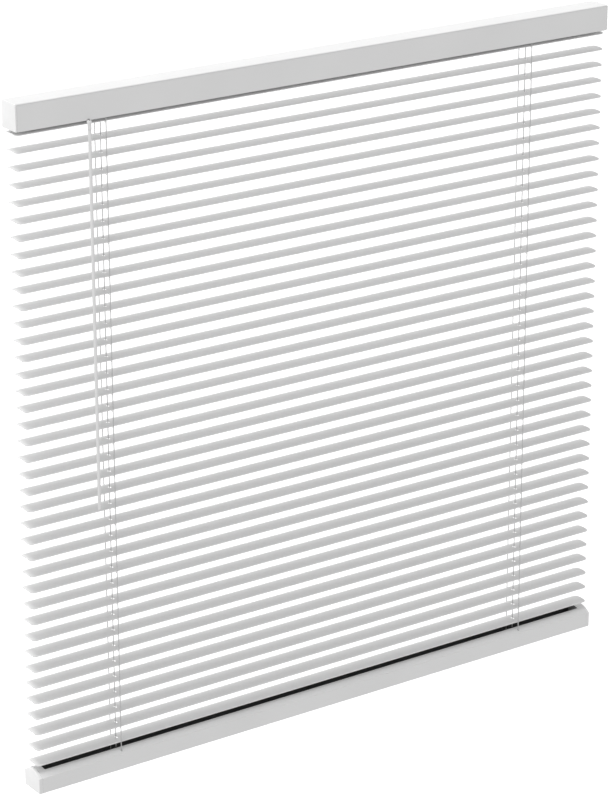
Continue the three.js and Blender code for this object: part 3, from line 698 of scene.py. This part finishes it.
def quarter(radius, steps=6):
    """(inset, height) along a quarter round, from the side face up to the top face."""
    angles = [math.radians(90 * i / steps) for i in range(steps + 1)]
    return [(radius - radius * math.cos(angle), radius * math.sin(angle)) for angle in angles]


# ---------------------------------------------------------------- Slats
def crown(y):
    """Height of the middle of a slat's strip at a distance from its middle line."""
    return SLAT_CROWN / 2 - SLAT_CROWN * (y / slat_half_width) ** 2


def hole_half_width(y):
    """Half the route hole's width in X at a distance from the slat's middle line."""
    straight = ROUTE_HOLE_HALF_LENGTH - ROUTE_HOLE_RADIUS
    beyond = max(abs(y) - straight, 0.0)
    return math.sqrt(max(ROUTE_HOLE_RADIUS ** 2 - beyond ** 2, 0.0))


def slat_half_at(y):
    """Half the slat's length at a distance from its middle line, with its round corners."""
    beyond = max(abs(y) - (slat_half_width - SLAT_CORNER), 0.0)
    return slat_half_length - SLAT_CORNER + math.sqrt(max(SLAT_CORNER ** 2 - beyond ** 2, 0.0))


def slat_rows():
    """Distances from the middle line, closer together where the hole or a corner is round."""
    straight = ROUTE_HOLE_HALF_LENGTH - ROUTE_HOLE_RADIUS
    corner = slat_half_width - SLAT_CORNER
    rows = {0.0}
    for i in range(SLAT_ARC_ROWS + 1):
        share = math.sin(math.radians(90 * i / SLAT_ARC_ROWS))
        rows.add(straight + ROUTE_HOLE_RADIUS * share)
        rows.add(corner + SLAT_CORNER * share)
    for i in range(1, SLAT_CROWN_ROWS):
        y = slat_half_width * i / SLAT_CROWN_ROWS
        if ROUTE_HOLE_HALF_LENGTH < y < corner:
            rows.add(y)
    return sorted({-y for y in rows} | rows)


def slat_mesh():
    """A crowned strip with two route holes, as rows of points joined into a sheet and then thickened."""
    vertices, faces = [], []
    rows = slat_rows()
    for y in rows:
        half = slat_half_at(y)
        hole = hole_half_width(y)
        stations = [
            -half,
            -ladder_x - 2 * ROUTE_HOLE_RADIUS,
            -ladder_x - hole,
            -ladder_x + hole,
            ladder_x - hole,
            ladder_x + hole,
            ladder_x + 2 * ROUTE_HOLE_RADIUS,
            half,
        ]
        vertices += [(x, y, crown(y)) for x in stations]
    per_row = len(stations)
    for row in range(len(rows) - 1):
        for column in range(per_row - 1):
            if column not in HOLE_COLUMNS:
                a = row * per_row + column
                faces.append((a, a + 1, a + 1 + per_row, a + per_row))
    sheet = bmesh.new()
    points = [sheet.verts.new(vertex) for vertex in vertices]
    for face in faces:
        sheet.faces.new([points[i] for i in face])
    bmesh.ops.remove_doubles(sheet, verts=sheet.verts, dist=1e-7)
    bmesh.ops.recalc_face_normals(sheet, faces=sheet.faces)
    if sheet.faces[0].normal.z > 0:
        bmesh.ops.reverse_faces(sheet, faces=sheet.faces)
    bmesh.ops.translate(sheet, verts=sheet.verts, vec=(0, 0, -SLAT_THICKNESS / 2))
    bmesh.ops.solidify(sheet, geom=sheet.faces[:], thickness=SLAT_THICKNESS)
    bmesh.ops.recalc_face_normals(sheet, faces=sheet.faces)
    mesh = bpy.data.meshes.new("slat_strip")
    sheet.to_mesh(mesh)
    sheet.free()
    soften(mesh)
    return mesh


def make_slats():
    mesh = slat_mesh()
    for name in slat_names:
        slat = bpy.data.objects.new(name + "_strip", mesh)
        bpy.context.scene.collection.objects.link(slat)
        slat.location.z = slat_z[name]
        settle(slat, "slat_vinyl", name, name)


# ---------------------------------------------------------------- Ladders and lift cord
def run(start, end, steps):
    """Points in equal steps along a straight line."""
    return [Vector(start).lerp(Vector(end), i / steps) for i in range(steps + 1)]


def make_strings(x, side):
    """A ladder's string: over its drum, down to the first slat, and then past the slats to the rail."""
    lean, second = slat_z["slat_01"] - LEAN_START, slat_z["slat_02"]
    floor = headrail_bottom + CHANNEL_WALL
    radius = string_over_drum
    reach = math.hypot(string_y, floor - drum_middle.z)
    contact = math.degrees(math.atan2(floor - drum_middle.z, string_y) + math.acos(radius / reach))
    over = [Vector((x, y, z)) for y, z in arc(0, drum_middle.z, radius, contact, 180 - contact, 28)]
    upper = run((x, string_y, lean - HAIR), (x, string_y, floor), 4)
    upper += over
    upper += run((x, -string_y, floor), (x, -string_y, lean - HAIR), 4)
    piece = strand(f"ladder_{side}_over_drum", [upper], STRING_RADIUS)
    settle(piece, "ladder_string", "headrail_frame", "ladder_" + side)
    shift = (1 - SQUASH_KEEP) * string_y
    bend = shift / ((1 - BEND_KEEP) * BEND_ACROSS * BEND_DOWN)
    for way, label in ((-1, "front"), (1, "rear")):
        top = (x, way * string_y, lean)
        link = strand(
            f"ladder_{side}_{label}_link",
            [run(top, (x, way * string_y, lean - bend), 8)],
            STRING_RADIUS - HAIR,
        )
        settle(link, "ladder_string", "headrail_frame")
        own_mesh(link)
        main = strand(
            f"ladder_{side}_{label}_string",
            [run((x, way * string_y, second), (x, way * string_y, string_end), 160)],
            STRING_RADIUS,
        )
        settle(main, "ladder_string", "headrail_frame")
        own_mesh(main)


def rung_mesh():
    """Two threads under a slat, from the front string to the rear one, either side of the route hole."""
    paths = []
    for side in (-1, 1):
        path = []
        for step in range(RUNG_STEPS + 1):
            share = 2 * step / RUNG_STEPS - 1
            y = string_y * math.copysign(abs(share) ** 0.8, share)
            ease = max(0.0, (abs(y) - slat_half_width + 0.0015) / (string_y - slat_half_width + 0.0015))
            z = -RUNG_DROP - RUNG_SAG * (1 - (y / string_y) ** 2) - (RUNG_JOIN_DROP - RUNG_DROP) * ease ** 1.5
            x = side * RUNG_SPREAD * (1 - ease ** 2)
            path.append((x, y, z))
        paths.append(path)
    rung = strand("rung", paths, RUNG_RADIUS, 8)
    mesh = rung.data
    bpy.data.objects.remove(rung)
    return mesh


def make_rungs():
    """Both ladders' rungs, one mesh shared by all of them."""
    mesh = rung_mesh()
    for name in slat_names:
        for x, side in ((-ladder_x, "left"), (ladder_x, "right")):
            rung = bpy.data.objects.new(f"rung_{side}_{name[-2:]}", mesh)
            bpy.context.scene.collection.objects.link(rung)
            rung.location = (x, 0, slat_z[name])
            settle(rung, "ladder_string", name)


def make_lift_cord():
    """One cord: up through the slats at the left, along the channel's floor, and down at the right."""
    run_z = headrail_bottom + CHANNEL_WALL + CORD_RUN_HEIGHT
    bend_z = run_z - CORD_BEND_RADIUS
    bend_x = ladder_x - CORD_BEND_RADIUS
    path = run((-ladder_x, 0, cord_end), (-ladder_x, 0, bend_z - CORD_BEND_RADIUS), 160)
    path += [Vector((x, 0, z)) for x, z in arc(-bend_x, bend_z, CORD_BEND_RADIUS, 180, 90, 10)]
    path += run((-bend_x + CORD_BEND_RADIUS, 0, run_z), (bend_x - CORD_BEND_RADIUS, 0, run_z), 60)
    path += [Vector((x, 0, z)) for x, z in arc(bend_x, bend_z, CORD_BEND_RADIUS, 90, 0, 10)]
    path += run((ladder_x, 0, bend_z - CORD_BEND_RADIUS), (ladder_x, 0, cord_end), 160)
    cord = strand("lift_cord_braid", [path], STRING_RADIUS)
    settle(cord, "lift_cord", "headrail_frame", "lift_cord")


# ---------------------------------------------------------------- Bottom rail
def shoulder(half, top_z):
    """Points round the rail's shoulder, from the upright wall to the arch."""
    points = []
    for i in range(7):
        angle = math.radians(90 * i / 6)
        y = half - RAIL_SHOULDER * (1 - math.cos(angle))
        z = top_z - RAIL_SHOULDER * (1 - math.sin(angle))
        points.append((y, z))
    return points


def rail_outline(inset, detailed=False):
    """Flat floor, upright walls and an arched top, drawn in from the rail's outside by a distance."""
    half = rail_high.y - inset
    floor = rail_low.z + inset
    corner = max(RAIL_CORNER - inset, RAIL_CORNER / 4)

    def arch(y):
        z = rail_high.z - RAIL_ARCH_RISE * (y / rail_high.y) ** 2 - inset
        if detailed:
            near_slot = abs(y) - RAIL_SLOT_HALF
            if near_slot < LIP_WIDTH:
                z += LIP_HEIGHT * math.sqrt(max(1 - (near_slot / LIP_WIDTH) ** 6, 0.0))
            crease = abs(abs(y) - CREASE_AT) / CREASE_WIDTH
            z -= CREASE_DEPTH * max(1 - crease ** 2, 0.0)
        return z

    stations = {0.0, RAIL_SLOT_HALF, half - RAIL_SHOULDER}
    stations |= {RAIL_SLOT_HALF + LIP_WIDTH * share for share in (0.25, 0.5, 0.75, 0.88, 0.95, 0.985, 1.0)}
    stations |= {CREASE_AT + CREASE_WIDTH * share for share in (-1, -0.5, 0, 0.5, 1)}
    stations |= {RAIL_SLOT_HALF * share for share in (0.25, 0.5, 0.75)}
    stations |= set(ARCH_STATIONS)
    stations = sorted(y for y in stations if y <= half - RAIL_SHOULDER)
    right = arc(half - corner, floor + corner, corner, 270, 360, 7)
    right += shoulder(half, arch(half - RAIL_SHOULDER))
    right += [(y, arch(y)) for y in reversed(stations[:-1]) if y > 0]
    left = [(-y, z) for y, z in reversed(right)]
    return right + [(0.0, arch(0.0))] + left


def slot_outline(half_x, half_y, radius, middle=(0, 0), steps=6):
    points = []
    for sx, sy, start in ((1, 1, 0), (-1, 1, 90), (-1, -1, 180), (1, -1, 270)):
        centre = (middle[0] + sx * (half_x - radius), middle[1] + sy * (half_y - radius))
        points += arc(*centre, radius, start, start + 90, steps)
    return points


def make_rail():
    x1 = rail_reach(RAIL_CAP)
    x0 = -x1
    body = along_x("bottom_rail_channel", rail_outline(0.0, True), x0, x1)
    tools = [along_x("hollow", rail_outline(RAIL_WALL), x0 - RAIL_WALL, x1 + RAIL_WALL)]
    slot_low = (rail_low.z + rail_high.z) / 2
    slot_high = rail_high.z + RAIL_WALL
    half_slot = blind_end - RAIL_SLOT_INSET
    slot = slot_outline(half_slot, RAIL_SLOT_HALF, RAIL_SLOT_CORNER)
    tools.append(along_z("slot", slot, slot_low, slot_high))
    for x in (-ladder_x, ladder_x):
        for y in (-string_y, string_y):
            hole = slot_outline(
                RAIL_STRING_SLOT_RADIUS, RAIL_STRING_SLOT_HALF, RAIL_STRING_SLOT_RADIUS - HAIR, (x, y)
            )
            tools.append(along_z("hole", hole, slot_low, slot_high))
    combine(body, tools)

    def is_inside(at, normal):
        depth = RAIL_WALL - HAIR
        under_arch = at.z < rail_high.z - RAIL_ARCH_RISE * (at.y / rail_high.y) ** 2 - depth
        between = at.z > rail_low.z + depth and under_arch and normal.z < FACES_UP
        on_floor = abs(at.z - rail_low.z - RAIL_WALL) < HAIR
        return abs(at.y) < rail_high.y - depth and (between or on_floor)

    # The rail's inside faces, seen through its slot, get the painted shade.
    paint_hollow_shade_inside(body, is_inside)
    settle(body, "rail_enamel", "rail", "bottom_rail")


def make_rail_cap(side, name):
    """A moulded end: a plug in the channel, and a face with rounded edges flush with the rail."""
    seam = blind_end - RAIL_CAP
    plug_inset = RAIL_WALL + FIT
    rings = [(seam - RAIL_PLUG, plug_inset), (seam, plug_inset), (seam, 0.0)]
    rings += [(blind_end - RAIL_CAP_EDGE + along, inset) for inset, along in quarter(RAIL_CAP_EDGE)]
    sections = [[(side * x, y, z) for y, z in cap_outline(inset)] for x, inset in rings]
    cap = loft(name + "_moulding", sections)
    settle(cap, "cap_plastic", "rail", name)


def cap_outline(inset):
    """The rail's outline drawn in by a distance, always with the same number of points."""
    half = rail_high.y - inset
    floor = rail_low.z + inset
    corner = RAIL_CORNER
    steps = 24
    right = arc(half - corner, floor + corner, corner, 270, 360, 7)
    top_y = half - RAIL_SHOULDER

    def arch(y):
        return rail_high.z - RAIL_ARCH_RISE * (y / rail_high.y) ** 2 - inset

    right += shoulder(half, arch(top_y))
    right += [(top_y * (1 - i / steps), arch(top_y * (1 - i / steps))) for i in range(1, steps)]
    left = [(-y, z) for y, z in reversed(right)]
    return right + [(0.0, arch(0.0))] + left


# ---------------------------------------------------------------- Wand
def make_hook():
    """A round socket over the stem's ball, slotted so that the wand can swing out, on a bored neck."""
    profile = [(radius, height) for radius, height in arc(0, 0, HOOK_RADIUS, 88, -34, 18)]
    profile += [(HOOK_SHOULDER[0], -HOOK_SHOULDER[1]), (HOOK_NECK_RADIUS + HOOK_FLARE, -HOOK_FLARE_AT)]
    profile += [(HOOK_NECK_RADIUS, -HOOK_NECK_START), (HOOK_NECK_RADIUS, -HOOK_NECK_END + LIP_ROUND)]
    profile += [(HOOK_NECK_RADIUS - LIP_ROUND, -HOOK_NECK_END)]
    hook = turned("wand_hook_socket", profile, ball)
    hollow_profile = arc(0, 0, HOOK_HOLLOW, 88, -88, 20)
    hollow = turned("hollow", hollow_profile, ball)
    half = HOOK_SLOT_WIDTH / 2
    sector = [(ball.y, ball.z)]
    sector += arc(ball.y, ball.z, 2 * HOOK_RADIUS, HOOK_SLOT_FROM, HOOK_SLOT_TO, 12)
    slot = along_x("slot", sector, ball.x - half, ball.x + half)
    bore_top = ball + Vector((0, 0, -HOOK_NECK_END + PIN_LENGTH + FIT))
    bore_end = ball + Vector((0, 0, -HOOK_NECK_END - FIT))
    bore = round_bar("bore", bore_top, bore_end, PIN_RADIUS + FIT)
    combine(hook, [hollow, slot, bore])
    settle(hook, "wand_plastic", "hook", "wand_hook")


def make_wand():
    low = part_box("wand")[0].z - ball.z
    top = -HOOK_NECK_END - FIT
    profile = [
        (PIN_RADIUS - LIP_ROUND, top + PIN_LENGTH),
        (PIN_RADIUS, top + PIN_LENGTH - LIP_ROUND),
        (PIN_RADIUS, top),
        (WAND_RADIUS - LIP_ROUND, top),
        (WAND_RADIUS - LIP_ROUND / 3, top - LIP_ROUND / 3),
        (WAND_RADIUS, top - LIP_ROUND),
    ]
    tip = low + WAND_TIP_LENGTH
    profile += [(WAND_RADIUS, top + (tip - top) * i / 40) for i in range(1, 41)]
    for i in range(1, 7):
        angle = math.radians(90 * i / 6)
        radius = WAND_TIP_RADIUS / 2 + (WAND_RADIUS - WAND_TIP_RADIUS / 2) * math.cos(angle)
        profile.append((radius, tip - WAND_TIP_LENGTH * math.sin(angle)))
    wand = turned("wand_stick_rod", profile, ball)
    settle(wand, "wand_plastic", "wand_stick", "wand")


# ---------------------------------------------------------------- Works inside the headrail
def finish_works():
    """Finishes for the carried-over works, which are hidden inside the headrail."""
    works = {
        "spring_motor": "moulding_plastic",
        "tilter_housing": "moulding_plastic",
        "cradle_left": "moulding_plastic",
        "cradle_right": "moulding_plastic",
        "drum_left": "moulding_plastic",
        "drum_right": "moulding_plastic",
        "tilt_rod": "rod_steel",
        "tilt_gear": "gear_plastic",
        "tilt_worm": "gear_plastic",
    }
    for node, slot in works.items():
        piece = frame["nodes"][node]
        piece.data.materials.clear()
        piece.data.materials.append(finishes[slot])


# ---------------------------------------------------------------- Stage
def make_floor():
    z = cad_low.z - FLOOR_DROP
    corners = [(-FLOOR_HALF, -FLOOR_HALF, z), (FLOOR_HALF, -FLOOR_HALF, z),
               (FLOOR_HALF, FLOOR_HALF, z), (-FLOOR_HALF, FLOOR_HALF, z)]
    mesh = bpy.data.meshes.new("floor")
    mesh.from_pydata(corners, [], [(0, 1, 2, 3)])
    floor = bpy.data.objects.new("floor", mesh)
    bpy.context.scene.collection.objects.link(floor)
    mesh.materials.append(floor_paint())
    floor.visible_diffuse = False
    floor.visible_glossy = False


def make_studio():
    """A sky brighter below and behind the blind, a soft overhead light, and a large panel on the left."""
    world = bpy.data.worlds.new("studio")
    bpy.context.scene.world = world
    world.use_nodes = True
    tree = world.node_tree
    background = tree.nodes["Background"]
    background.inputs["Color"].default_value = (1, 1, 1, 1)
    direction = tree.nodes.new("ShaderNodeTexCoord").outputs["Generated"]
    parts = tree.nodes.new("ShaderNodeSeparateXYZ")
    tree.links.new(direction, parts.inputs["Vector"])
    height = tree.nodes.new("ShaderNodeMapRange")
    height.inputs["From Min"].default_value = -SKY_BLEND
    height.inputs["From Max"].default_value = SKY_BLEND
    height.inputs["To Min"].default_value = SKY_BELOW
    height.inputs["To Max"].default_value = SKY_ABOVE
    tree.links.new(parts.outputs["Z"], height.inputs["Value"])
    behind = tree.nodes.new("ShaderNodeMapRange")
    behind.inputs["To Max"].default_value = SKY_BEHIND
    tree.links.new(parts.outputs["Y"], behind.inputs["Value"])
    both = tree.nodes.new("ShaderNodeMath")
    both.operation = "ADD"
    tree.links.new(height.outputs["Result"], both.inputs[0])
    tree.links.new(behind.outputs["Result"], both.inputs[1])
    tree.links.new(both.outputs["Value"], background.inputs["Strength"])
    sun = bpy.data.lights.new("overhead", "SUN")
    sun.energy = OVERHEAD_STRENGTH
    sun.angle = math.radians(OVERHEAD_SOFTNESS)
    overhead = bpy.data.objects.new("overhead", sun)
    overhead.rotation_mode = "QUATERNION"
    overhead.rotation_quaternion = Vector(OVERHEAD_DIRECTION).to_track_quat("Z", "Y")
    bpy.context.scene.collection.objects.link(overhead)
    lamp = bpy.data.lights.new("panel", "AREA")
    lamp.energy = PANEL_POWER
    lamp.size = PANEL_SIZE
    panel = bpy.data.objects.new("panel", lamp)
    panel.location = PANEL_PLACE
    panel.rotation_mode = "QUATERNION"
    panel.rotation_quaternion = Vector(PANEL_PLACE).to_track_quat("Z", "Y")
    bpy.context.scene.collection.objects.link(panel)
    bpy.context.scene.view_settings.view_transform = "Standard"


def make_camera():
    lens = bpy.data.cameras.new("camera")
    lens.lens = CAMERA_LENS
    lens.sensor_width = CAMERA_SENSOR
    camera = bpy.data.objects.new("camera", lens)
    camera.location = CAMERA_PLACE
    camera.rotation_euler = [math.radians(angle) for angle in CAMERA_TURN]
    bpy.context.scene.collection.objects.link(camera)
    bpy.context.scene.camera = camera


make_camera()
make_channel()
make_cover()
make_end_cap(-1, "end_cap_left")
make_end_cap(1, "end_cap_right")
make_slats()
make_strings(-ladder_x, "left")
make_strings(ladder_x, "right")
make_rungs()
make_lift_cord()
make_rail()
make_rail_cap(-1, "bottom_cap_left")
make_rail_cap(1, "bottom_cap_right")
make_hook()
make_wand()
finish_works()
make_floor()
make_studio()
